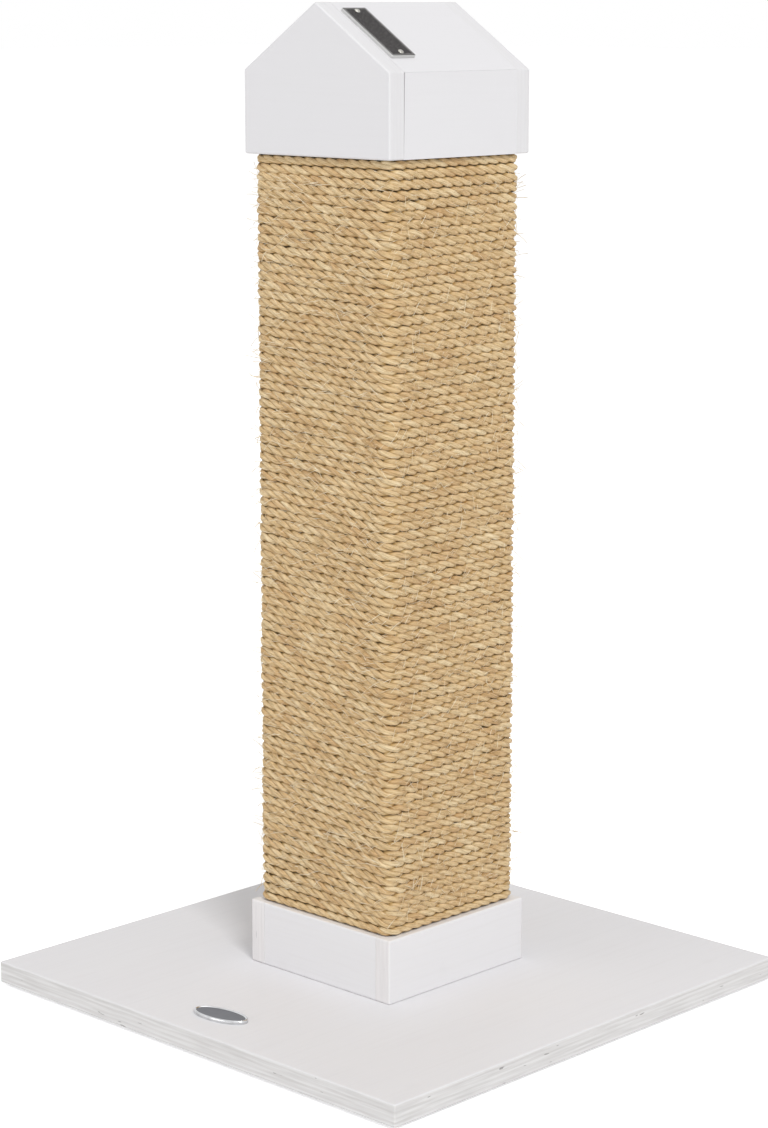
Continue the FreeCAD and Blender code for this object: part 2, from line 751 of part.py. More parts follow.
# --- Build, check and write -------------------------------------------------------

def check_and_write():
    doc.recompute()
    for item in doc.Objects:
        if "Invalid" in item.State or "Error" in item.State:
            raise RuntimeError("%s failed: %s" % (item.Label, item.State))
    for piece in parts:
        shape = piece.Shape
        if shape.isNull() or not shape.isValid() or not shape.Solids:
            raise RuntimeError("%s has no valid solid" % piece.Label)
    os.makedirs("parts", exist_ok=True)
    for piece in parts:
        piece.Shape.exportStep("parts/%s.step" % piece.Label)
    print("%d nodes, %d solids" % (len(parts), sum(len(piece.Shape.Solids) for piece in parts)))


make_feet()
make_base_board()
make_bolt()
make_plinth()
make_plinth_block()
make_column()
make_end_blocks()
make_insert()
make_rope()
make_gables()
make_cap_sides()
make_roof()
make_cap_block()
make_dowels()
make_plate()
make_pins()
make_badge()
check_and_write()
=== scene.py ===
# %% [markdown]
# # A cat scratching post, dressed
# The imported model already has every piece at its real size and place. This lesson gives
# those pieces their looks: glazed plywood boards, a wound sisal rope made strand by
# strand, a small metal plate with two pins, an oval badge and felt feet.
# The frame is in metres, +Z is up, the gables face -Y and +Y, and the small plate lies
# on the roof slope that faces +X.

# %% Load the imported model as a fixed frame
import math

import bmesh
import bpy
from mathutils import Matrix, Vector


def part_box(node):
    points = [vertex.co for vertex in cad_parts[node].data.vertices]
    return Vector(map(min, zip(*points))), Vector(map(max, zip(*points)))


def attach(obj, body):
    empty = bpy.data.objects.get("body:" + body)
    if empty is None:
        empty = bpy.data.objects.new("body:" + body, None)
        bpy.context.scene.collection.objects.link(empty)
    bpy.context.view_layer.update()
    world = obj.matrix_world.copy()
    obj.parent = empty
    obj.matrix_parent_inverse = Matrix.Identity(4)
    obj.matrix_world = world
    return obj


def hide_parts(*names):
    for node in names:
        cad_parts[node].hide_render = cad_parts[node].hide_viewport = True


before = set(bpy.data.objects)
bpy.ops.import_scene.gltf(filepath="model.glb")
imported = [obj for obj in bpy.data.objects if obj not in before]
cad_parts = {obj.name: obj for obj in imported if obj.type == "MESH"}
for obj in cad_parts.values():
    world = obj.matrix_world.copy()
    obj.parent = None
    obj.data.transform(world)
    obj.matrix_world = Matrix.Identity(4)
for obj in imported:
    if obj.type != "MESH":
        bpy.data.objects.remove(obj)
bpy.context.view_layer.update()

MM = 0.001
X, Y, Z = 0, 1, 2

# %% [markdown]
# ## The camera
# The photograph was taken from the corner between the front gable and the plate's side,
# a little above the middle of the post. A long lens keeps the uprights nearly parallel.

# %% Place the camera
CAMERA_PLACE = Vector((1.2110, -1.2551, 0.6168))
CAMERA_LOOKS = Vector((-0.68206, 0.70537, -0.19298))
LENS_MM = 91.05

camera_data = bpy.data.cameras.new("camera")
camera_data.sensor_width = 36
camera_data.lens = LENS_MM
camera = bpy.data.objects.new("camera", camera_data)
camera.location = CAMERA_PLACE
camera.rotation_euler = CAMERA_LOOKS.to_track_quat("-Z", "Y").to_euler()
bpy.context.scene.collection.objects.link(camera)
bpy.context.scene.camera = camera
print("camera", [round(v, 3) for v in camera.location])

# %% [markdown]
# ## Small helpers for trees of nodes
# Materials and Geometry Nodes are both trees of nodes. One function adds any node: it sets
# what it is told, links what it is given and hands back one of the node's outputs. Colours
# are written as they look on a screen, and another function turns them into the linear
# values that light works with.

# %% Helpers for nodes and colours
VECTORS, RANGE, SPLIT = "ShaderNodeVectorMath", "ShaderNodeMapRange", "ShaderNodeSeparateXYZ"
NOISE, MAPPING, COORDINATES = "ShaderNodeTexNoise", "ShaderNodeMapping", "ShaderNodeTexCoord"
MIX, ATTRIBUTE = "ShaderNodeMix", "ShaderNodeAttribute"
MIXED = {"out": 2, "data_type": "RGBA"}
MULTIPLIED = {**MIXED, "blend_type": "MULTIPLY"}


def linear(hex_colour, share=1.0):
    """A screen colour such as #EDE8E0, or a share of it, as linear values and alpha."""
    def channel(text):
        value = int(text, 16) / 255
        return share * (value / 12.92 if value <= 0.04045 else ((value + 0.055) / 1.055) ** 2.4)
    return tuple(channel(hex_colour[i:i + 2]) for i in (1, 3, 5)) + (1.0,)


def value_of(given):
    """A screen colour as linear values, and anything else as it is."""
    return linear(given) if isinstance(given, str) and given.startswith("#") else given


def add(tree, kind, sockets=None, out=0, **settings):
    """Add a node and hand back one of its outputs.

    Sockets are links, values or screen colours, and settings are the node's own properties.
    """
    node = tree.nodes.new(kind)
    for name, value in settings.items():
        setattr(node, name, value)
    for key, value in (sockets or {}).items():
        if isinstance(value, bpy.types.NodeSocket):
            tree.links.new(value, node.inputs[key])
        else:
            node.inputs[key].default_value = value_of(value)
    return node.outputs[out]


def ramp(tree, factor, *stops):
    """A colour ramp from (position, colour) stops."""
    colours = add(tree, "ShaderNodeValToRGB", {0: factor})
    elements = colours.node.color_ramp.elements
    for _ in stops[2:]:
        elements.new(0.5)
    for element, (position, colour) in zip(elements, stops):
        element.position = position
        element.color = value_of(colour)
    return colours


def bumped(tree, height, strength, depth):
    """Normals that follow a height."""
    return add(tree, "ShaderNodeBump", {"Height": height, "Strength": strength, "Distance": depth})


def sums(tree, operation, *values, kind="ShaderNodeMath", out=0):
    """The result of a sum on numbers or links."""
    return add(tree, kind, dict(enumerate(values)), out, operation=operation)


def vectors(tree, operation, *values, out=0):
    """The same for vectors."""
    return sums(tree, operation, *values, kind=VECTORS, out=out)


def scaled(tree, vector, factor):
    """A vector made longer or shorter."""
    return add(tree, VECTORS, {0: vector, "Scale": factor}, operation="SCALE")


def material(name, **values):
    """A new material with one Principled shader, and that shader's plain values."""
    made = bpy.data.materials.new(name)
    made.use_nodes = True
    shader = made.node_tree.nodes["Principled BSDF"]
    for socket, value in values.items():
        shader.inputs[socket.replace("_", " ")].default_value = value
    return made, made.node_tree, shader


def feed(shader, **links):
    """Link sockets to a shader's inputs, such as Base_Color or Normal."""
    for name, socket in links.items():
        shader.id_data.links.new(socket, shader.inputs[name.replace("_", " ")])


def scales(axis, along, across):
    """Scales that make a pattern so long along one axis and so wide across it."""
    return [1 / (along if a == axis else across) for a in (X, Y, Z)]


def grained(tree, vector, stretch, **values):
    """A noise with a scale of its own along each axis."""
    place = add(tree, MAPPING, {"Vector": vector, "Scale": stretch})
    return add(tree, NOISE, {"Vector": place, "Scale": 1.0, **values})


# %% [markdown]
# ## Floor, light and background
# A pale floor and soft, even light, as in a studio for shop pictures. A large softbox hangs
# above, the key light stands on the right, so that the post shades the board behind it on
# the left, and a low one lights the front gable's side. The background stays white because
# the world is white where the camera, a mirror or glass sees it, and the floor adds a little
# white of its own for the camera, so only the shadow shows.

# %% Build the floor and the lights
FLOOR_REACH = 30.0
FLOOR_LIFT = 0.54    # the white that the floor adds for the camera
WORLD_LEVEL = 0.50   # the light that comes from all round
LIT_POINT = Vector((0, 0, 0.3))


def seen_directly(tree):
    """1 for what the camera, a mirror or glass sees, and 0 for bounced light."""
    path = add(tree, "ShaderNodeLightPath").node.outputs
    either = sums(tree, "MAXIMUM", path["Is Camera Ray"], path["Is Glossy Ray"])
    return sums(tree, "MAXIMUM", either, path["Is Transmission Ray"])


mesh = bpy.data.meshes.new("studio_floor")
mesh.from_pydata([(x * FLOOR_REACH, y * FLOOR_REACH, 0) for x, y in ((-1, -1), (1, -1), (1, 1), (-1, 1))],
                 [], [(0, 1, 2, 3)])
floor = bpy.data.objects.new("studio_floor", mesh)
bpy.context.scene.collection.objects.link(floor)

paper, tree, shader = material("white paper floor", Roughness=0.9, Base_Color=linear("#F7F7F7"))
lift = sums(tree, "MULTIPLY", seen_directly(tree), FLOOR_LIFT)
glow = add(tree, "ShaderNodeEmission", {"Strength": lift})
both = add(tree, "ShaderNodeAddShader", {0: shader.outputs[0], 1: glow})
tree.links.new(both, tree.nodes["Material Output"].inputs[0])
mesh.materials.append(paper)

world = bpy.data.worlds.new("soft_studio")
world.use_nodes = True
bpy.context.scene.world = world
tree = world.node_tree
level = add(tree, RANGE, {"Value": seen_directly(tree), "To Min": WORLD_LEVEL, "To Max": 1.0})
background = tree.nodes["Background"]
background.inputs["Color"].default_value = (1.0, 1.0, 1.0, 1.0)
feed(background, Strength=level)

for name, place, size, power in (("softbox_above", (0.3, 0.0, 5.0), 4.0, 30),
                                 ("softbox_key", (5.1, -2.7, 5.2), 2.0, 285),
                                 ("softbox_low", (-1.8, -5.6, 1.6), 2.4, 46)):
    data = bpy.data.lights.new(name, "AREA")
    data.size = size
    data.energy = power
    lamp = bpy.data.objects.new(name, data)
    lamp.location = place
    lamp.rotation_euler = (LIT_POINT - Vector(place)).to_track_quat("-Z", "Y").to_euler()
    bpy.context.scene.collection.objects.link(lamp)
bpy.context.scene.view_settings.view_transform = "Standard"

# %% [markdown]
# ## White-glazed poplar plywood
# Thin poplar plies are glued crosswise, sawn, sanded and brushed with a white glaze. The
# glaze is nearly opaque on a face, which shows only a breath of long grain, with a satin
# sheen. A sawn edge drinks more glaze: its plies show as bands of two pale greys, with long
# streaks and a few small dark gaps. The board, the plinth and the cap differ in how much of
# their plywood the glaze hides. The glaze is also painted lighter on the plinth and darker on
# the cap: painted light and shade that even out how the lamps fall from top to bottom.
# The pattern needs to know which way each board's grain runs and which way its plies are
# stacked, so one function makes a material for each way that a board can lie.

# %% The glazed plywood material
PLY = 1.5 * MM                # one layer of the plywood
BOW = 0.3 * MM                # how far the layers stray from straight
BOWS_PER_M = 9
GRAIN = (70 * MM, 2.2 * MM)   # grain is drawn this long and this wide
CLOUD = (1 / 6, 1 / 16)       # slow clouds of tone, in metres along and across the grain
KNOTS_PER_M = 17
STREAK = (1.3 * MM, 26 * MM)  # streaks and gaps on an edge, through the plies and along
HOLE = (1.3 * MM, 7 * MM)
GLAZE = "#E5E4E6"
PLINTH_GLAZE_PAINTED_LIGHTER = "#EAE9EA"      # painted light: lighter than the board's glaze, to make up for the lamps lighting the plinth less
# painted shade: the cap's glaze is darker than the board's, to make up for the lamps lighting the cap more
CAP_GLAZE_PAINTED_DARKER = "#DFDEE0"
SAWN = ("#D2D0CE", "#DEDDDC")       # dark and pale plies of a sawn edge under the glaze
SAWN_THIN = ("#E6DDD9", "#EAE3DF")  # the same on the plinth, where the wood warms it


def glazed_plywood(name, grain, stack, tilt=0.0, cover=0.7, edge_cover=0.3, sawn=SAWN, glaze=GLAZE):
    """Glazed plywood whose grain runs along one axis and whose plies stack along another.

    Cover is how much the glaze hides on a face or on an edge: 0 is clear and 1 is opaque.
    """
    made, tree, shader = material(name, Roughness=0.5, Specular_IOR_Level=0.35)
    turned = add(tree, MAPPING, {"Vector": add(tree, COORDINATES, out="Object"), "Rotation": (0, tilt, 0)})
    facing = add(tree, MAPPING, {"Vector": add(tree, COORDINATES, out="Normal"), "Rotation": (0, tilt, 0)},
                 vector_type="VECTOR")
    # face veneer: long fibres, then slow clouds of tone, then a rare knot
    fibres = grained(tree, turned, scales(grain, *GRAIN), Detail=4.0, Distortion=0.6)
    face = ramp(tree, fibres, (0.30, "#DFDDDF"), (0.48, "#E4E3E5"), (0.72, "#E6E5E8"))
    clouds = grained(tree, turned, scales(grain, *CLOUD), Detail=3.0)
    tone = ramp(tree, clouds, (0.30, "#F9F8F9"), (0.62, "#FFFFFF"))
    face = add(tree, MIX, {0: 1.0, 6: face, 7: tone}, **MULTIPLIED)
    place = add(tree, MAPPING, {"Vector": turned, "Scale": (KNOTS_PER_M,) * 3})
    knots = add(tree, "ShaderNodeTexVoronoi", {"Vector": place, "Scale": 1.0}, out="Distance")
    knots = ramp(tree, knots, (0.02, "#F1EFEE"), (0.11, "#FFFFFF"))
    face = add(tree, MIX, {0: 0.4, 6: face, 7: knots}, **MULTIPLIED)
    # sawn edge: layers and streaks, with gaps where a core ply has a knot hole
    wobble = add(tree, NOISE, {"Vector": turned, "Scale": BOWS_PER_M})
    depth = add(tree, SPLIT, {0: turned}, out=stack)
    depth = sums(tree, "MULTIPLY_ADD", wobble, BOW, depth)
    layer = sums(tree, "MULTIPLY", depth, math.pi / PLY)
    layer = sums(tree, "SINE", layer)
    layer = add(tree, RANGE, {"Value": layer, "From Min": -0.55, "From Max": 0.55})
    edge = ramp(tree, layer, (0.0, sawn[0]), (1.0, sawn[1]))
    for size, detail, scale, stops in ((STREAK, 3.0, 1.0, ((0.36, "#E9E8E7"), (0.6, "#FFFFFF"))),
                                       (HOLE, 1.0, 0.7, ((0.75, "#FFFFFF"), (0.775, "#77716B")))):
        marks = grained(tree, turned, scales(stack, *size), Scale=scale, Detail=detail)
        marks = ramp(tree, marks, *stops)
        edge = add(tree, MIX, {0: 1.0, 6: edge, 7: marks}, **MULTIPLIED)
    # which of the two shows depends on whether the surface faces along the stack of plies
    along = sums(tree, "ABSOLUTE", add(tree, SPLIT, {0: facing}, out=stack))
    mask = add(tree, RANGE, {"Value": along, "From Min": 0.45, "From Max": 0.8})
    colour = add(tree, MIX, {0: mask, 6: edge, 7: face}, **MIXED)
    hidden = add(tree, RANGE, {"Value": mask, "To Min": edge_cover, "To Max": cover})
    glazed = add(tree, MIX, {0: hidden, 6: colour, 7: glaze}, **MIXED)
    bump = bumped(tree, fibres, 0.35 * (1 - cover), 0.05 * MM)
    satin = add(tree, RANGE, {"Value": clouds, "To Min": 0.42, "To Max": 0.58})
    feed(shader, Base_Color=glazed, Normal=bump, Roughness=satin)
    return made


# %% [markdown]
# ## Boards
# Every board is a flat outline pushed through a straight length. Its edges are sanded:
# about a millimetre at the outside corners, and only a hair's breadth where two boards
# are glued edge to edge, which is what leaves a fine line between them. A bevel weight on
# each edge tells the Bevel modifier which is which.

# %% A board from an outline
ARRIS = 1.2 * MM         # how far an outside corner is sanded
SEAM = 0.35 * MM         # the same where boards are glued edge to edge
TIGHT = 0.12 * MM        # and where a joint hardly shows
GAP = 1.0 * MM           # and along the foot of the plinth
ON_SEAM = 0.05 * MM      # an edge this near to a joint is sanded as the joint is
SHARP = math.radians(25)  # flatter edges aren't sanded


def plain_mesh(source, name):
    """Turn an object and its modifiers into one plain mesh object at the origin."""
    seen_as = source.evaluated_get(bpy.context.evaluated_depsgraph_get())
    mesh = bpy.data.meshes.new_from_object(seen_as)
    mesh.name = name
    made = bpy.data.objects.new(name, mesh)
    bpy.context.scene.collection.objects.link(made)
    bpy.data.objects.remove(source)
    return made


def object_from(mesh_in_progress, name, finish):
    """Write a bmesh to a new object with one material."""
    mesh = bpy.data.meshes.new(name)
    mesh_in_progress.to_mesh(mesh)
    mesh_in_progress.free()
    mesh.materials.append(finish)
    made = bpy.data.objects.new(name, mesh)
    bpy.context.scene.collection.objects.link(made)
    return made


def board(node, outline, axis, finish, seams, opened=0.0):
    """Make a board in place of a CAD node. Seams are (axis, place, easing) planes.

    An opened joint leaves the board short by this much at the top of its first end.
    """
    low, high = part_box(node)
    across = [a for a in (X, Y, Z) if a != axis]
    form = bmesh.new()
    rings = []
    for reach in (low[axis], high[axis]):
        ring = []
        for u, w in outline:
            spot = [0.0, 0.0, 0.0]
            spot[across[0]], spot[across[1]], spot[axis] = u, w, reach
            if reach == low[axis]:
                spot[axis] += opened * (w - low[across[1]]) / (high[across[1]] - low[across[1]])
            ring.append(form.verts.new(spot))
        rings.append(ring)
    for ring in rings:
        form.faces.new(ring)
    for i in range(len(outline)):
        form.faces.new((rings[0][i - 1], rings[0][i], rings[1][i], rings[1][i - 1]))
    bmesh.ops.recalc_face_normals(form, faces=form.faces)
    weight = form.edges.layers.float.new("bevel_weight_edge")
    for edge in form.edges:
        if edge.calc_face_angle() < SHARP:
            continue
        edge[weight] = 1.0
        for plane, place, easing in seams:
            if all(abs(vertex.co[plane] - place) < ON_SEAM + opened for vertex in edge.verts):
                edge[weight] = min(edge[weight], easing / ARRIS)
    for face in form.faces:
        face.smooth = True
    rough = object_from(form, node + "_sawn", finish)
    bevel = rough.modifiers.new("sanded", "BEVEL")
    bevel.width = ARRIS
    bevel.segments = 3
    bevel.limit_method = "WEIGHT"
    rough.modifiers.new("flat_faces", "WEIGHTED_NORMAL").keep_sharp = True
    made = plain_mesh(rough, node + "_glazed")
    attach(made, "root")
    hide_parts(node)
    return made


def rectangle(node, axis):
    """The outline of a node's box, seen along one axis."""
    low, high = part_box(node)
    u, w = [a for a in (X, Y, Z) if a != axis]
    return [(low[u], low[w]), (high[u], low[w]), (high[u], high[w]), (low[u], high[w])]

# %% [markdown]
# ## The base board
# One square of plywood, 350 mm a side and 14 mm thick, lying flat. Its four sawn edges
# show the plies.

# %% Make the base board
lying = glazed_plywood("white-glazed poplar plywood, lying flat", grain=Y, stack=Z)
base = board("base_board", rectangle("base_board", Z), Z, lying, [])
BASE_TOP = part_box("base_board")[1].z
print("base board", len(base.data.polygons), "faces")

# %% [markdown]
# ## The boxed plinth
# Two boards face left and right and run the full width, and two shorter ones are glued
# between them, so the corners show the end of one board and the face of the other.

# %% Make the plinth's four boards
# the plinth's sawn edges hide more of their plies, and its glaze is painted lighter as painted light
PLINTH_EDGES_AND_PAINTED_LIGHT = {"edge_cover": 0.75, "sawn": SAWN_THIN, "glaze": PLINTH_GLAZE_PAINTED_LIGHTER}
facing_x = glazed_plywood("white-glazed poplar plywood, facing left or right", Y, X, **PLINTH_EDGES_AND_PAINTED_LIGHT)
facing_y = glazed_plywood("white-glazed poplar plywood, facing front or back", X, Y, **PLINTH_EDGES_AND_PAINTED_LIGHT)
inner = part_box("plinth_board_front")[1].x
for node in ("plinth_board_left", "plinth_board_right"):
    side = -inner if node.endswith("left") else inner
    board(node, rectangle(node, Z), Z, facing_x, [(X, side, SEAM), (Z, BASE_TOP, GAP)])
for node in ("plinth_board_front", "plinth_board_back"):
    board(node, rectangle(node, Z), Z, facing_y, [(X, -inner, SEAM), (X, inner, SEAM), (Z, BASE_TOP, GAP)])
print("plinth boards meet", round(inner / MM, 1), "mm from the middle")

# %% [markdown]
# ## The gabled cap
# The cap is a little house: two five-sided gable boards, two upright side boards and two
# roof boards between them. The eaves and the ridge are sanded round right across the
# joint of two boards, so their shared corner is drawn once as an arc and each board
# takes its own half of it.

# %% Work out the cap's section and make its six boards
CAP_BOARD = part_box("gable_board_back")[1].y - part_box("gable_board_back")[0].y
CAP_LOW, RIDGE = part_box("gable_board_front")[0].z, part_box("gable_board_front")[1].z
CAP_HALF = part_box("gable_board_front")[1].x
CAP_RISE = 40 * MM
EAVE = RIDGE - CAP_RISE
ROOF_ANGLE = math.atan2(CAP_RISE, CAP_HALF)
CORNER_STEPS = 4


def arc_corner(corner, before, after, radius):
    """Points of an arc that rounds the corner between two directions."""
    one, two = Vector(before).normalized(), Vector(after).normalized()
    half = math.acos(max(-1.0, min(1.0, one.dot(two)))) / 2
    middle = Vector(corner) + (one + two).normalized() * (radius / math.sin(half))
    start = Vector(corner) + one * (radius / math.tan(half)) - middle
    end = Vector(corner) + two * (radius / math.tan(half)) - middle
    # slerp gives directions of length one, so each is made as long as the radius
    return [middle + radius * start.slerp(end, i / CORNER_STEPS) for i in range(CORNER_STEPS + 1)]


up_slope = (-CAP_HALF, CAP_RISE)
eave_arc = arc_corner((CAP_HALF, EAVE), (0, -1), up_slope, ARRIS)
ridge_arc = arc_corner((0, RIDGE), (CAP_HALF, -CAP_RISE), (-CAP_HALF, -CAP_RISE), ARRIS)
mid = CORNER_STEPS // 2


def mirrored(points):
    """The same outline on the other side."""
    return [(-x, z) for x, z in reversed(points)]


right_half = [tuple(p) for p in eave_arc] + [tuple(p) for p in ridge_arc[:mid + 1]]
gable = [(CAP_HALF, CAP_LOW)] + right_half[:-1] + mirrored(right_half) + [(-CAP_HALF, CAP_LOW)]
slack = CAP_BOARD / math.cos(ROOF_ANGLE)
under_ridge = (0.0, RIDGE - slack)
under_eave = (CAP_HALF - CAP_BOARD, EAVE + CAP_BOARD * math.tan(ROOF_ANGLE) - slack)
side = [(CAP_HALF, CAP_LOW)] + right_half[:mid + 1] + [under_eave, (CAP_HALF - CAP_BOARD, CAP_LOW)]
roof = right_half[mid:] + [under_ridge, under_eave]
gable_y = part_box("cap_side_right")[1].y
joints = [(Y, -gable_y, SEAM), (Y, gable_y, SEAM)]
OPENED = 0.7 * MM   # the joint of the front gable and the right side stands open at the top
# the cap is filled and glazed until little of its plywood shows, and its glaze is painted darker as painted
# shade
FILLED_AND_PAINTED_SHADE = {"cover": 0.88, "edge_cover": 0.88, "glaze": CAP_GLAZE_PAINTED_DARKER}
roof_right = glazed_plywood("filled and white-glazed plywood, right slope", Y, Z, -ROOF_ANGLE, **FILLED_AND_PAINTED_SHADE)
roof_left = glazed_plywood("filled and white-glazed plywood, left slope", Y, Z, ROOF_ANGLE, **FILLED_AND_PAINTED_SHADE)
cap_x = glazed_plywood("filled and white-glazed plywood, facing left or right", Y, X, **FILLED_AND_PAINTED_SHADE)
cap_y = glazed_plywood("filled and white-glazed plywood, facing front or back", X, Y, **FILLED_AND_PAINTED_SHADE)
board("gable_board_front", gable, Y, cap_y, joints)
board("gable_board_back", gable, Y, cap_y, joints)
board("cap_side_right", side, Y, cap_x, joints, opened=OPENED)
board("cap_side_left", mirrored(side), Y, cap_x, joints)
roof_joints = [(Y, -gable_y, TIGHT), (Y, gable_y, TIGHT)]
board("roof_board_right", roof, Y, roof_right, roof_joints)
board("roof_board_left", mirrored(roof), Y, roof_left, roof_joints)
print("roof pitch", round(math.degrees(ROOF_ANGLE), 1), "degrees")

# %% [markdown]
# ## Sisal rope
# Sisal is a stiff leaf fibre, spun into yarns and laid up as three strands that wind
# round each other. Wound tight on a square column it makes 84 turns. Each turn lies level
# on three sides and steps up to the next in the middle of the back, where both ends of
# the rope go in. Away from the two ends the turns aren't quite level: in the photograph
# they are lowest at the nearest corner and highest at the left one, by a few millimetres.
# The rope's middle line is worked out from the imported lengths, and Geometry Nodes lay the
# three strands round it, so one tree serves all four lengths.

# %% The line that the rope follows
TURNS = 21        # in each of the four lengths
ROPE_MM = 6.0
CORNER_MM = 4.2   # the rope's middle rounds a corner this tightly
BEND_MM = 3.3     # and so does an end that goes into the back board
TUCK_MM = 8.0     # how far the end then goes in
BESIDE_MM = 0.3   # between an end and the step beside it
STEP_MM = 30.0    # the step on the back is this long
TAIL_MM = STEP_MM / 2 + ROPE_MM / 2 + BESIDE_MM + BEND_MM
LAY_MM = 27.0     # a strand turns once round the rope in this length
LEAN_MM = (-0.9, -1.8, 2.7, 1.0)   # each corner's height above level, the hidden one a guess
LEVEL_MM = 30.0   # turns are level at both ends of the column, and lean fully this far in
END_MM = 0.25     # the fuller rope keeps this much further from the boards
rope_nodes = ["rope_winding_%d" % i for i in (1, 2, 3, 4)]
first_low, first_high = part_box(rope_nodes[0])
second_low, second_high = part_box(rope_nodes[1])
PITCH = (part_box(rope_nodes[2])[0].z - second_low.z) / TURNS
ROPE_TALL = (second_high.z - second_low.z) - TURNS * PITCH
ROPE_LOW = first_low.z + ROPE_TALL / 2
ROPE_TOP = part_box(rope_nodes[-1])[1].z - ROPE_TALL / 2
ROPE_HALF = first_high.x - ROPE_MM / 2 * MM
CORNER = CORNER_MM * MM
FLAT_HALF = ROPE_HALF - CORNER
ARC_STEPS = 6


def eased(share):
    """A share from 0 to 1 that starts and stops softly."""
    share = max(0.0, min(1.0, share))
    return share * share * (3 - 2 * share)


def settled(point, lift):
    """Lift a point of the winding, but not at the column's two ends."""
    over = LEVEL_MM * MM
    room = eased((point.z - ROPE_LOW) / over) * eased((ROPE_TOP - point.z) / over)
    middle = (ROPE_LOW + ROPE_TOP) / 2
    shrink = 1 - 2 * END_MM * MM / (ROPE_TOP - ROPE_LOW)
    return Vector((point.x, point.y, middle + (point.z - middle) * shrink + lift * room * MM))


def winding_line(index):
    """Points along the middle of one length of rope, clockwise and upwards."""
    low = ROPE_LOW + index * TURNS * PITCH
    plan = []
    for corner, (x, y) in enumerate(((1, 1), (1, -1), (-1, -1), (-1, 1))):
        for step in range(ARC_STEPS + 1):
            angle = math.pi / 2 * (1 - corner - step / ARC_STEPS)
            spot = (x * FLAT_HALF + CORNER * math.cos(angle), y * FLAT_HALF + CORNER * math.sin(angle))
            plan.append((*spot, LEAN_MM[corner]))
        side = Vector((math.cos(angle), math.sin(angle)))
        ahead = Vector((side.y, -side.x))
        if corner < 3:
            for share in (0.1, 0.3, 0.5, 0.7, 0.9):
                lift = LEAN_MM[corner] * (1 - share) + LEAN_MM[corner + 1] * share
                plan.append((*(side * ROPE_HALF + ahead * FLAT_HALF * (2 * share - 1)), lift))

    def climb(level, shares):
        """The step on the back, up from a level to the next."""
        spots = []
        for share in shares:
            x = STEP_MM * MM * (share - 0.5)
            across = (x / FLAT_HALF + 1) / 2
            lift = LEAN_MM[3] * (1 - across) + LEAN_MM[0] * across
            spots.append((Vector((x, ROPE_HALF, level + PITCH * eased(share))), lift))
        return spots

    whole = [share / 8 for share in range(9)]
    points = []
    if index == 0:
        points += [(spot, 0.0) for spot in tail_line(1, low)[::-1]]
    else:
        points += climb(low - PITCH, whole[4:])
    for turn in range(TURNS):
        level = low + PITCH * turn
        points += [(Vector((x, y, level)), lift) for x, y, lift in plan]
        if turn < TURNS - 1:
            points += climb(level, whole)
    if index == len(rope_nodes) - 1:
        points += [(spot, 0.0) for spot in tail_line(-1, level)]
    else:
        points += climb(level, whole[:5])
    return [settled(spot, lift) for spot, lift in points]


def tail_line(sign, height):
    """Points of a rope end that bends into the back board."""
    bend = BEND_MM * MM
    middle = Vector((sign * TAIL_MM * MM, ROPE_HALF - bend, height))
    spots = [middle + Vector((-sign * bend * math.sin(a), bend * math.cos(a), 0))
             for a in (math.pi / 2 * i / ARC_STEPS for i in range(ARC_STEPS + 1))]
    return spots + [spots[-1] - Vector((0, TUCK_MM * MM, 0))]


def length_of(points):
    """The length of a line through its points, in metres."""
    return sum((b - a).length for a, b in zip(points, points[1:]))


lines = [winding_line(index) for index in range(len(rope_nodes))]
print("pitch", round(PITCH / MM, 3), "mm, rope", round(sum(length_of(line) for line in lines), 2), "m in all")

# %% [markdown]
# Three round strands would leave deep grooves, but a rope laid under tension presses them
# together, so here they are thicker than a third and share their inner part. Turns pulled
# tight against each other also flatten, so the rope is taller than it is wide, except next
# to the boards. A strand turns once round the rope in each lay. The rope's outward and
# upward directions come from its path. Slow noises make the line wander, each strand stray
# and swell and thin a little, as hand-fed sisal does. Each point keeps its run along the
# rope, its place round the strand and how far it stands proud, for the material to read.

# %% Build the tree that lays three strands round a line
STRAND = 1.7 * MM      # the radius of a strand, which has eight sides and a ring at each step
STRAND_OUT = ROPE_MM / 2 * MM - STRAND
STEP = 2.6 * MM
SIDES = 8
HEMMED_IN = 20 * MM    # the rope wanders less this near to a board
WANDER_OVER = 16 * MM  # how long the slow changes are: of the line, a strand's place and its size
STRAY_OVER = 9 * MM
SWELL_OVER = 14 * MM
SWELL = (0.85, 1.12)   # the thinnest and the fullest part of a strand
POSITION, STORE = "GeometryNodeInputPosition", "GeometryNodeStoreNamedAttribute"
SET_POSITION, READ = "GeometryNodeSetPosition", "GeometryNodeInputNamedAttribute"
RESAMPLE, CIRCLE = "GeometryNodeResampleCurve", "GeometryNodeCurvePrimitiveCircle"
HALF = (0.5, 0.5, 0.5)


def new_tree(name, inputs):
    """An empty Geometry Nodes tree with named inputs, what it is given and its last node."""
    tree = bpy.data.node_groups.new(name, "GeometryNodeTree")
    tree.interface.new_socket("Geometry", in_out="INPUT", socket_type="NodeSocketGeometry")
    for label, kind, value in inputs:
        socket = tree.interface.new_socket(label, in_out="INPUT", socket_type="NodeSocket" + kind)
        if value is not None:
            socket.default_value = value
    tree.interface.new_socket("Geometry", in_out="OUTPUT", socket_type="NodeSocketGeometry")
    return tree, tree.nodes.new("NodeGroupInput").outputs, tree.nodes.new("NodeGroupOutput")


def set_input(modifier, label, value):
    """Give a named input of a Geometry Nodes modifier its value."""
    for item in modifier.node_group.interface.items_tree:
        if item.item_type == "SOCKET" and item.in_out == "INPUT" and item.name == label:
            modifier[item.identifier] = value


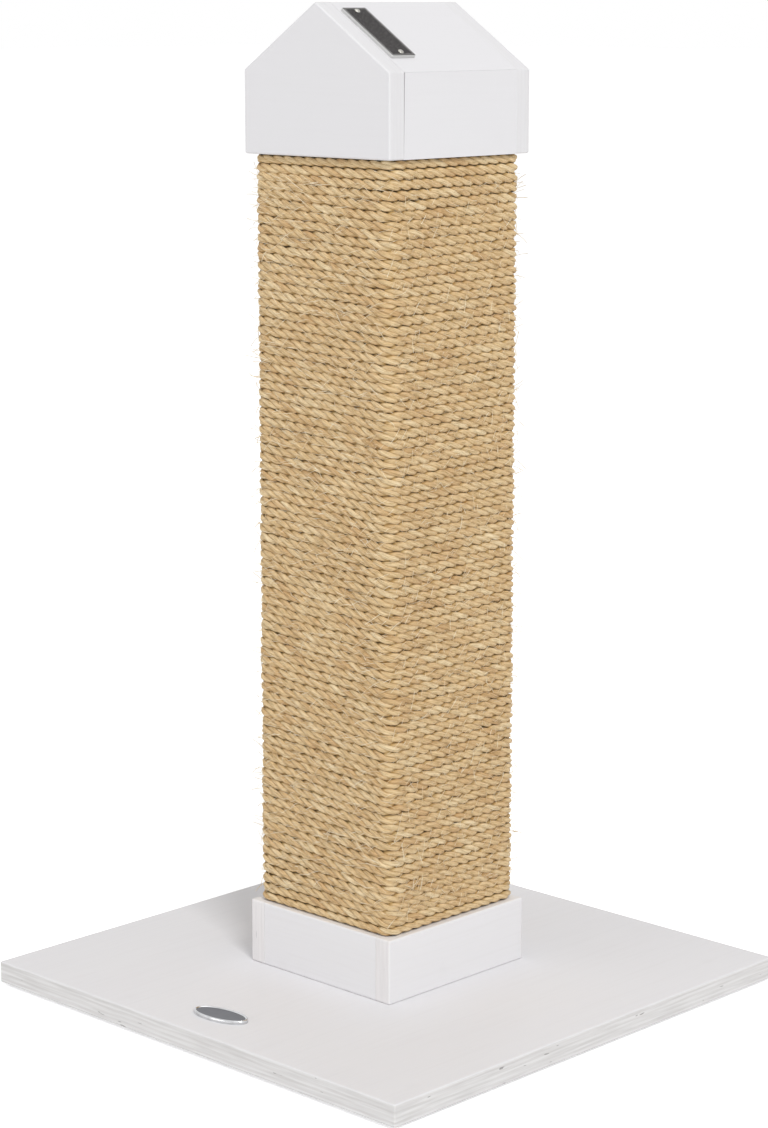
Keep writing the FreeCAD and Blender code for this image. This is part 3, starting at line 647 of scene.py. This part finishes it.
def rope_frame(tree):
    """The rope's forward, outward and upward directions at each point."""
    ahead = add(tree, "GeometryNodeInputTangent")
    outward = vectors(tree, "CROSS_PRODUCT", (0, 0, 1), ahead)
    outward = vectors(tree, "NORMALIZE", outward)
    return ahead, outward, vectors(tree, "CROSS_PRODUCT", ahead, outward)


def between(tree, first, second, angle):
    """A direction between two others, by an angle from the first."""
    return vectors(tree, "ADD", scaled(tree, first, sums(tree, "COSINE", angle)),
                   scaled(tree, second, sums(tree, "SINE", angle)))


def shaken(tree, colour, reach):
    """A noise's colour as an offset either way, up to about half a reach."""
    offset = vectors(tree, "SUBTRACT", colour, HALF)
    return scaled(tree, offset, reach)


def finish_tree(tree, geometry, finish, end):
    """End a tree in Realize Instances and Set Material."""
    real = add(tree, "GeometryNodeRealizeInstances", {0: geometry})
    dressed = add(tree, "GeometryNodeSetMaterial", {"Geometry": real, "Material": finish})
    tree.links.new(dressed, end.inputs[0])


rope_tree, given, end = new_tree("laid rope", [
    ("Start", "Float", 0.0), ("Lay", "Float", LAY_MM * MM), ("Step", "Float", STEP),
    ("Strand", "Float", STRAND), ("Out", "Float", STRAND_OUT), ("Squash at ends", "Float", 0.9),
    ("Squash", "Float", 1.3), ("Wander", "Float", 1.7 * MM), ("Loose", "Float", 1.1 * MM),
    ("Sides", "Int", SIDES), ("Finish", "Material", None)])
tree = rope_tree
line = add(tree, RESAMPLE, {"Curve": given["Geometry"], "Length": given["Step"]}, mode="LENGTH")
# the wander fades near the two ends of the column, where boards hem the rope in
spot = add(tree, POSITION)
height = add(tree, SPLIT, {0: spot}, out=Z)
room = [add(tree, RANGE, {"Value": height, "From Min": at, "From Max": free})
        for at, free in ((ROPE_LOW, ROPE_LOW + HEMMED_IN), (ROPE_TOP, ROPE_TOP - HEMMED_IN))]
room = sums(tree, "MULTIPLY", room[0], room[1])
reach = sums(tree, "MULTIPLY", room, given["Wander"])
drift = add(tree, NOISE, {"Vector": spot, "Scale": 1 / WANDER_OVER, "Detail": 1.0}, out="Color")
drift = shaken(tree, drift, reach)
run = add(tree, "GeometryNodeSplineParameter", out="Length")
run = sums(tree, "ADD", run, given["Start"])
ahead, outward, upward = rope_frame(tree)
from_ends = [sums(tree, "SUBTRACT", high, low)
             for high, low in ((height, ROPE_LOW), (ROPE_TOP, height))]
nearest_end = sums(tree, "MINIMUM", from_ends[0], from_ends[1])
squash = add(tree, RANGE, {"Value": nearest_end, "From Max": PITCH, "To Min": given["Squash at ends"],
                           "To Max": given["Squash"]})
for name, value in (("run", run), ("squash", squash), ("room", room)):
    line = add(tree, STORE, {0: line, "Name": name, "Value": value})
line = add(tree, SET_POSITION, {"Geometry": line, "Offset": drift})
for name, value in (("core", add(tree, POSITION)), ("away", outward)):
    line = add(tree, STORE, {0: line, "Name": name, "Value": value}, data_type="FLOAT_VECTOR")
run, squash, room = (add(tree, READ, {"Name": name}, data_type="FLOAT") for name in ("run", "squash", "room"))
loose = sums(tree, "MULTIPLY", room, given["Loose"])
turns = sums(tree, "DIVIDE", run, given["Lay"])
taller = scaled(tree, upward, squash)
profile = add(tree, CIRCLE, {"Resolution": given["Sides"], "Radius": given["Strand"]}, mode="RADIUS")
around = vectors(tree, "NORMALIZE", add(tree, POSITION))
profile = add(tree, STORE, {0: profile, "Name": "ring", "Value": around}, data_type="FLOAT_VECTOR")
strands = add(tree, "GeometryNodeJoinGeometry")
for strand in range(3):
    angle = sums(tree, "ADD", turns, strand / 3)
    angle = sums(tree, "MULTIPLY", angle, math.tau)
    shift = between(tree, outward, taller, angle)
    shift = scaled(tree, shift, given["Out"])
    place = sums(tree, "MULTIPLY_ADD", run, 1 / STRAY_OVER, 31.0 * (strand + 1))
    stray = add(tree, NOISE, {"W": place, "Scale": 1.0, "Detail": 1.0}, out="Color", noise_dimensions="1D")
    shift = vectors(tree, "ADD", shift, shaken(tree, stray, loose))
    laid = add(tree, SET_POSITION, {"Geometry": line, "Offset": shift})
    laid = add(tree, STORE, {0: laid, "Name": "strand", "Value": float(strand)})
    place = sums(tree, "MULTIPLY_ADD", run, 1 / SWELL_OVER, 53.0 * strand)
    swell = add(tree, NOISE, {"W": place, "Scale": 1.0, "Detail": 1.0}, noise_dimensions="1D")
    swell = add(tree, RANGE, {"Value": swell, "From Min": 0.2, "From Max": 0.8,
                              "To Min": SWELL[0], "To Max": SWELL[1]})
    laid = add(tree, "GeometryNodeSetCurveRadius", {"Curve": laid, "Radius": swell})
    tube = add(tree, "GeometryNodeCurveToMesh", {"Curve": laid, "Profile Curve": profile, "Fill Caps": True})
    tree.links.new(tube, strands.node.inputs[0])
core, away = (add(tree, READ, {"Name": name}, data_type="FLOAT_VECTOR") for name in ("core", "away"))
from_core = vectors(tree, "SUBTRACT", add(tree, POSITION), core)
proud = vectors(tree, "DOT_PRODUCT", from_core, away, out="Value")
proud = sums(tree, "DIVIDE", proud, ROPE_MM / 2 * MM)
marked = add(tree, STORE, {0: strands, "Name": "proud", "Value": proud})
smooth = add(tree, "GeometryNodeSetShadeSmooth", {"Geometry": marked, "Shade Smooth": True})
finish_tree(tree, smooth, given["Finish"], end)
print("strand", round(STRAND / MM, 2), "mm in radius,", len(tree.nodes), "nodes in the tree")

# %% [markdown]
# Sisal is a warm straw colour that wanders from cream to light brown along the rope. The
# fibres run along each strand as fine streaks. Where strands sink between each other, and
# where turns meet, the colour is painted darker: painted shade, with a little dust. The
# surface is rough and dry, with a soft sheen from the loose fibre ends.

# %% The sisal material
STREAKS_LONG = 5 * MM
STREAKS_ROUND = 4.2
TONE_OVER = 45 * MM

rope_finish, tree, shader = material("three-strand sisal rope, laid and untreated", Roughness=0.78,
                                     Specular_IOR_Level=0.25, Sheen_Weight=0.15, Sheen_Roughness=0.5)
run, strand, proud = (add(tree, ATTRIBUTE, out="Fac", attribute_name=name)
                      for name in ("run", "strand", "proud"))
ring = add(tree, ATTRIBUTE, out="Vector", attribute_name="ring")
# streaks: quick round the strand, slow along it, and other ones on each strand
along = sums(tree, "MULTIPLY", run, 1 / STREAKS_LONG)
along = sums(tree, "MULTIPLY_ADD", strand, 37.0, along)
around = add(tree, SPLIT, {0: scaled(tree, ring, STREAKS_ROUND)})
place = add(tree, "ShaderNodeCombineXYZ", {0: around, 1: around.node.outputs[1], 2: along})
fibres = add(tree, NOISE, {"Vector": place, "Scale": 1.0, "Detail": 4.0, "Roughness": 0.65})
# slow changes of tone along each strand
slow = sums(tree, "MULTIPLY", run, 1 / TONE_OVER)
slow = sums(tree, "MULTIPLY_ADD", strand, 91.0, slow)
tone = add(tree, NOISE, {"W": slow, "Scale": 1.0, "Detail": 2.0}, noise_dimensions="1D")
tone = ramp(tree, tone, (0.25, "#DFBE90"), (0.5, "#EED4A9"), (0.75, "#FAE7C3"))
streak = ramp(tree, fibres, (0.34, "#A38F66"), (0.5, "#EBE3D2"), (0.64, "#FFFFFF"))
colour = add(tree, MIX, {0: 0.8, 6: tone, 7: streak}, **MULTIPLIED)
# painted shade, with a little dust: the less a point stands proud, the darker it is, so the hollows between
# strands and turns come out dark
hollow_dust_and_painted_shade = ramp(tree, proud, (0.1, "#5E542E"), (0.36, "#D8CBAB"), (0.58, "#FFFFFF"))
colour = add(tree, MIX, {0: 1.0, 6: colour, 7: hollow_dust_and_painted_shade}, **MULTIPLIED)
bump = bumped(tree, fibres, 0.9, 0.5 * MM)
feed(shader, Base_Color=colour, Normal=bump)
print("sisal:", len(tree.nodes), "nodes")

# %% Lay the four lengths of rope
def along_lines(name, points_of_each, tree, **values):
    """Run a tree on a curve through each list of points, and keep the plain mesh."""
    curve = bpy.data.curves.new(name + "_line", "CURVE")
    curve.dimensions = "3D"
    for points in points_of_each:
        spline = curve.splines.new("POLY")
        spline.points.add(len(points) - 1)
        for place, point in zip(spline.points, points):
            place.co = (*point, 1.0)
    source = bpy.data.objects.new(name + "_line", curve)
    bpy.context.scene.collection.objects.link(source)
    laying = source.modifiers.new("laid", "NODES")
    laying.node_group = tree
    for label, value in values.items():
        set_input(laying, label, value)
    return plain_mesh(source, name)


laid_so_far = 0.0
for node, points in zip(rope_nodes, lines):
    rope = along_lines(node + "_strands", [points], rope_tree, Start=laid_so_far, Finish=rope_finish)
    laid_so_far += length_of(points)
    for helper in ("core", "away", "squash", "room"):
        rope.data.attributes.remove(rope.data.attributes[helper])
    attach(rope, "root")
    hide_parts(node)
    print(rope.name, sum(len(p.vertices) - 2 for p in rope.data.polygons), "triangles")

# %% [markdown]
# ## Stray fibres
# A sisal rope is hairy. Fibre ends slip out of the strands all along it and stand off a
# few millimetres, mostly in the direction the rope runs. They are built from three bent
# hairs that are set along the rope, turned and sized at random with a fixed seed. Real
# fibres are about 0.2 mm thick. These are a little coarser, because finer ones would not
# show, and there are fewer of them.

# %% Build the tree of fibres and grow them
FIBRE_EVERY = 3.4 * MM
FIBRE_THICK = 0.28 * MM
FIBRE_ROOT = 0.44   # fibres start this far out, as a share of the rope's thickness
FIBRES_MM = (((0, 0, 0), (3.5, 0.6, 0.5), (8.0, -0.6, 1.0)),
             ((0, 0, 0), (2.5, -0.8, 1.4), (6.0, 0.9, 2.6)),
             ((0, 0, 0), (4.0, 0.4, 2.2), (8.5, 2.0, 2.8)))

tree, given, end = new_tree("stray fibres", [
    ("Spacing", "Float", FIBRE_EVERY), ("Thickness", "Float", FIBRE_THICK), ("Rope", "Float", ROPE_MM * MM),
    ("Seed", "Int", 4), ("Finish", "Material", None)])


def chance(low, high, salt):
    """A random number for each point."""
    seed = sums(tree, "ADD", given["Seed"], salt)
    return add(tree, "FunctionNodeRandomValue", {"Min": low, "Max": high, "Seed": seed}, out="Value",
               data_type="FLOAT")


line = add(tree, RESAMPLE, {"Curve": given["Geometry"], "Length": given["Spacing"]}, mode="LENGTH")
ahead, outward, upward = rope_frame(tree)
shapes = add(tree, "GeometryNodeJoinGeometry")
thin = sums(tree, "MULTIPLY", given["Thickness"], 0.5)
stem = add(tree, CIRCLE, {"Resolution": 3, "Radius": thin}, mode="RADIUS")
for root, bend, tip in FIBRES_MM:
    sockets = {label: tuple(v * MM for v in place)
               for label, place in (("Start", root), ("Middle", bend), ("End", tip))}
    hair = add(tree, "GeometryNodeCurveQuadraticBezier", dict(sockets, Resolution=2))
    hair = add(tree, "GeometryNodeCurveToMesh", {"Curve": hair, "Profile Curve": stem})
    tree.links.new(add(tree, "GeometryNodeGeometryToInstance", {0: hair}), shapes.node.inputs[0])
side = between(tree, outward, upward, chance(-1.2, 1.2, 1))
lean = between(tree, ahead, upward, chance(-0.9, 0.9, 2))
to_surface = sums(tree, "MULTIPLY", given["Rope"], FIBRE_ROOT)
to_surface = scaled(tree, side, to_surface)
roots = add(tree, SET_POSITION, {"Geometry": line, "Offset": to_surface})
turned = add(tree, "FunctionNodeAxesToRotation", {"Primary Axis": side, "Secondary Axis": lean},
             primary_axis="Z", secondary_axis="X")
planted = add(tree, "GeometryNodeInstanceOnPoints",
              {"Points": roots, "Instance": shapes, "Pick Instance": True, "Rotation": turned,
               "Scale": chance(0.5, 1.5, 3)})
finish_tree(tree, planted, given["Finish"], end)

fibre_finish, shader_tree, shader = material("loose sisal fibre, dry", Roughness=0.6, Specular_IOR_Level=0.4)
place = add(shader_tree, COORDINATES, out="Object")
tint = add(shader_tree, NOISE, {"Vector": place, "Scale": 1 / (5 * MM), "Detail": 1.0})
feed(shader, Base_Color=ramp(shader_tree, tint, (0.35, "#D9BC8C"), (0.65, "#F6EBD2")))

CLEAR = 6 * MM   # fibres keep this far from the boards above and below
free_lines = [[p for p in points if ROPE_LOW + CLEAR < p.z < ROPE_TOP - CLEAR] for points in lines]
fibres = along_lines("stray_fibres", free_lines, tree, Finish=fibre_finish)
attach(fibres, "root")
print("fibres:", sum(len(p.vertices) - 2 for p in fibres.data.polygons), "triangles")

# %% [markdown]
# ## The small plate and its pins
# A strip of aluminium, dark anodised on its face and bright where it was sawn. A fine
# line is engraved along its border, and its face stays plain. Two nickel pins with domed
# heads hold it.

# %% Metals
def metal(name, colour, roughness, grain_mm=None, grain=X):
    """A metal with fine drawn lines if it was brushed, and a soft unevenness in any case."""
    made, tree, shader = material(name, Metallic=1.0)
    place = add(tree, COORDINATES, out="Object")
    if grain_mm:
        noise = grained(tree, place, scales(grain, grain_mm * 40 * MM, grain_mm * MM), Detail=3.0)
    else:
        noise = add(tree, NOISE, {"Vector": place, "Scale": 180.0, "Detail": 3.0})
    base = ramp(tree, noise, (0.3, linear(colour, 0.8)), (0.65, colour))
    rough = add(tree, RANGE, {"Value": noise, "To Min": roughness * 0.8, "To Max": roughness * 1.25})
    bump = bumped(tree, noise, 0.2, 0.02 * MM)
    feed(shader, Base_Color=base, Roughness=rough, Normal=bump)
    return made


bare_aluminium = metal("sawn aluminium, bare", "#D6D6D4", 0.32, 0.12, X)
nickel = metal("nickel plate, polished", "#BDBBB4", 0.2)
chrome = metal("chrome plate, polished", "#D9DADC", 0.12)
dull_chrome = metal("chrome plate over a matt field", "#6C6D73", 0.34)
zinc = metal("zinc plate on steel", "#B8BBBE", 0.34)
brass = metal("brass, turned", "#C9A45C", 0.3, 0.15, Z)

dark_anodised, tree, shader = material("dark anodised aluminium, brushed", Roughness=0.55, Metallic=0.0,
                                       Specular_IOR_Level=0.2)
place = add(tree, COORDINATES, out="Object")
on_plate = add(tree, MAPPING, {"Vector": place, "Rotation": (0, -ROOF_ANGLE, 0), "Scale": (400, 2500, 2500)})
brushed = add(tree, NOISE, {"Vector": on_plate, "Scale": 1.0, "Detail": 4.0})
specks = add(tree, NOISE, {"Vector": place, "Scale": 1 / (0.7 * MM), "Detail": 2.0})
mottled = sums(tree, "MULTIPLY", specks, 0.4)
mottled = sums(tree, "MULTIPLY_ADD", brushed, 0.6, mottled)
face = ramp(tree, mottled, (0.38, "#0F0E0E"), (0.5, "#242121"), (0.62, "#5E5A5A"))
bump = bumped(tree, brushed, 0.3, 0.04 * MM)
feed(shader, Base_Color=face, Normal=bump)
print("metals done,", len(bpy.data.materials), "materials so far")

# %% Make the plate and its pins
on_slope = Matrix.Rotation(ROOF_ANGLE, 4, "Y")
plate_low, plate_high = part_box("roof_plate")
PLATE_WIDE = plate_high.y - plate_low.y
PLATE_THICK = 2.0 * MM
PLATE_LONG = 49.6 * MM
PLATE_DOWN = 9.4 * MM
PIN_INSET = 3.7 * MM
PLATE_ROUND = 0.6 * MM
TOP_MM = PLATE_THICK / MM
BORDER_MM, GROOVE_MM, CUT_MM = 1.1, 0.22, 0.12   # the engraved line: how far in, how wide and how deep


def slope_place(down, out=0.0):
    """Matrix that stands on the right slope, a distance down from the ridge."""
    middle_y = (plate_low.y + plate_high.y) / 2
    ridge = Matrix.Translation((0, middle_y, RIDGE))
    return ridge @ on_slope @ Matrix.Translation((down, 0, out))


def rounded_rectangle(long, wide, radius, steps=4):
    """Points of a rectangle with round corners, anticlockwise."""
    spots = []
    for corner, (x, y) in enumerate(((1, 1), (-1, 1), (-1, -1), (1, -1))):
        for step in range(steps + 1):
            angle = math.pi / 2 * (corner + step / steps)
            spots.append((x * (long / 2 - radius) + radius * math.cos(angle),
                          y * (wide / 2 - radius) + radius * math.sin(angle)))
    return spots


def stacked_rings(name, rings, finish, place, spare=None):
    """A closed form from rings of points, bottom first, capped at both ends."""
    form = bmesh.new()
    loops = [[form.verts.new(point) for point in ring] for ring in rings]
    count = len(loops[0])
    for lower, upper in zip(loops, loops[1:]):
        for i in range(count):
            form.faces.new((lower[i - 1], lower[i], upper[i], upper[i - 1]))
    form.faces.new(loops[0][::-1])
    form.faces.new(loops[-1])
    bmesh.ops.recalc_face_normals(form, faces=form.faces)
    for face in form.faces:
        face.smooth = True
    form.transform(place)
    made = object_from(form, name, finish)
    if spare:
        made.data.materials.append(spare)
    made.data.set_sharp_from_angle(angle=math.radians(32))
    return made


plate_rings = []
for inset, height in ((0.15, 0.0), (0.0, 0.15), (0.0, TOP_MM - 0.2), (0.2, TOP_MM), (BORDER_MM, TOP_MM),
                      (BORDER_MM + 0.08, TOP_MM - CUT_MM), (BORDER_MM + GROOVE_MM, TOP_MM - CUT_MM),
                      (BORDER_MM + GROOVE_MM + 0.08, TOP_MM)):
    inset *= MM
    ring = rounded_rectangle(PLATE_LONG - 2 * inset, PLATE_WIDE - 2 * inset,
                             max(PLATE_ROUND - inset, 0.1 * MM))
    plate_rings.append([(x, y, height * MM) for x, y in ring])
plate = stacked_rings("roof_plate_anodised", plate_rings, bare_aluminium,
                      slope_place(PLATE_DOWN + PLATE_LONG / 2), dark_anodised)
out_of_roof = (on_slope @ Vector((0, 0, 1))).normalized()
plate_middle = slope_place(PLATE_DOWN + PLATE_LONG / 2, PLATE_THICK).translation
for polygon in plate.data.polygons:
    # the face and the engraved line are dark, and the sawn sides are bare
    high = (polygon.center - plate_middle).dot(out_of_roof) > -(CUT_MM + 0.01) * MM
    polygon.material_index = 1 if high and polygon.normal.dot(out_of_roof) > 0.8 else 0
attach(plate, "root")
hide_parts("roof_plate")

PIN_HEAD, PIN_TALL, PIN_SHANK, PIN_DEEP = 3.8 * MM, 1.1 * MM, 1.4 * MM, 7.0 * MM
PIN_SIDES = 24
PIN_RIM, DOME_STEPS = 0.18, 6   # the head's upright rim, as a share of its height
dome = [(PIN_HEAD / 2 * math.cos(a), PIN_TALL * (PIN_RIM + (1 - PIN_RIM) * math.sin(a)))
        for a in (math.pi / 2 * i / DOME_STEPS for i in range(DOME_STEPS))]
steps = [(PIN_SHANK / 2, -PIN_DEEP), (PIN_SHANK / 2, 0.0), (PIN_HEAD / 2, 0.0), *dome, (0.1 * MM, PIN_TALL)]
rings = [[(r * math.cos(math.tau * i / PIN_SIDES), r * math.sin(math.tau * i / PIN_SIDES), z)
          for i in range(PIN_SIDES)] for r, z in steps]
for number, down in enumerate((PLATE_DOWN + PIN_INSET, PLATE_DOWN + PLATE_LONG - PIN_INSET), 1):
    pin = stacked_rings("plate_pin_%d" % number, rings, nickel, slope_place(down, PLATE_THICK))
    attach(pin, "root")
    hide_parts("plate_pins")
print("plate", len(plate.data.polygons), "faces")

# %% [markdown]
# ## The oval badge
# A cast oval with a raised, rounded rim, chrome plated. The plain field inside the rim is
# matt and darker.

# %% Make the badge
BADGE_LONG, BADGE_WIDE = 40 * MM, 18 * MM
BADGE_TURN = math.radians(7.5)
BADGE_POINTS = 72
badge_low, badge_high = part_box("base_badge")
badge_middle = (badge_low + badge_high) / 2
profile_mm = [(0.1, 0.0), (0.0, 0.15), (0.0, 1.75), (0.18, 2.12), (0.5, 2.34), (0.85, 2.4), (1.2, 2.32),
              (1.5, 2.05), (1.66, 1.92), (2.4, 1.9)]
rings = []
for inset, height in profile_mm:
    a, b = BADGE_LONG / 2 - inset * MM, BADGE_WIDE / 2 - inset * MM
    rings.append([(a * math.cos(t), b * math.sin(t), height * MM)
                  for t in (math.tau * i / BADGE_POINTS for i in range(BADGE_POINTS))])
place = Matrix.Translation((badge_middle.x, badge_middle.y, BASE_TOP)) @ Matrix.Rotation(BADGE_TURN, 4, "Z")
badge = stacked_rings("base_badge_chromed", rings, chrome, place, dull_chrome)
FIELD_MM = 1.95   # the field lies this high, inside the rim
for polygon in badge.data.polygons:
    rise = polygon.center.z - BASE_TOP
    polygon.material_index = 1 if polygon.normal.z > 0.95 and rise < FIELD_MM * MM else 0
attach(badge, "root")
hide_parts("base_badge")
print("badge", len(badge.data.polygons), "faces")

# %% [markdown]
# ## Felt feet
# Square pads cut from pressed wool felt, glued under the corners of the board. Felt has
# no threads: it is a dense tangle, so its sides are a little fuzzy and uneven.

# %% Make the four feet
felt, tree, shader = material("pressed wool felt", Roughness=0.95, Sheen_Weight=0.4, Sheen_Roughness=0.6)
place = add(tree, COORDINATES, out="Object")
tangle = add(tree, NOISE, {"Vector": place, "Scale": 1 / (0.9 * MM), "Detail": 5.0, "Distortion": 1.5})
colour = ramp(tree, tangle, (0.3, "#3A3A3D"), (0.7, "#5A5A5E"))
bump = bumped(tree, tangle, 0.8, 0.3 * MM)
feed(shader, Base_Color=colour, Normal=bump)

for node in ("foot_front_left", "foot_front_right", "foot_back_left", "foot_back_right"):
    low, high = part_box(node)
    side = high.x - low.x
    rings = []
    for inset, height in ((0.25, 0.0), (0.0, 0.5), (0.05, 1.4), (0.15, 2.0)):
        ring = rounded_rectangle(side - 2 * inset * MM, side - 2 * inset * MM, 1.2 * MM)
        rings.append([(x, y, height * MM) for x, y in ring])
    middle_point = Matrix.Translation(((low.x + high.x) / 2, (low.y + high.y) / 2, low.z))
    foot = stacked_rings(node + "_felt", rings, felt, middle_point)
    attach(foot, "root")
    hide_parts(node)
print("four feet")

# %% [markdown]
# ## What the boards hide
# The bolt, its long nut, the blocks, the dowels and the column's boards keep their packed
# shapes. They need only their own materials: bare plywood, beech, zinc and brass.

# %% Dress the hidden pieces
def bare_wood(name, pale, dark, grain):
    """Sanded wood without a finish, with its grain along one axis."""
    made, tree, shader = material(name, Roughness=0.7, Specular_IOR_Level=0.3)
    place = add(tree, COORDINATES, out="Object")
    lines = grained(tree, place, scales(grain, 50 * MM, 1.8 * MM), Detail=5.0, Distortion=0.8)
    colour = ramp(tree, lines, (0.3, dark), (0.7, pale))
    bump = bumped(tree, lines, 0.4, 0.08 * MM)
    feed(shader, Base_Color=colour, Normal=bump)
    return made


poplar = bare_wood("poplar plywood, sanded and bare", "#D9BF96", "#B99768", Z)
beech = bare_wood("beech dowel, bare", "#D8B48A", "#B98D62", Z)
dress = {"base_bolt": zinc, "insert_nut": brass, "cap_dowels": beech}
for name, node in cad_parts.items():
    if node.hide_render:
        continue
    node.data.materials.clear()
    node.data.materials.append(dress.get(name, poplar))
print("hidden pieces dressed:", sorted(n for n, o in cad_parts.items() if not o.hide_render))
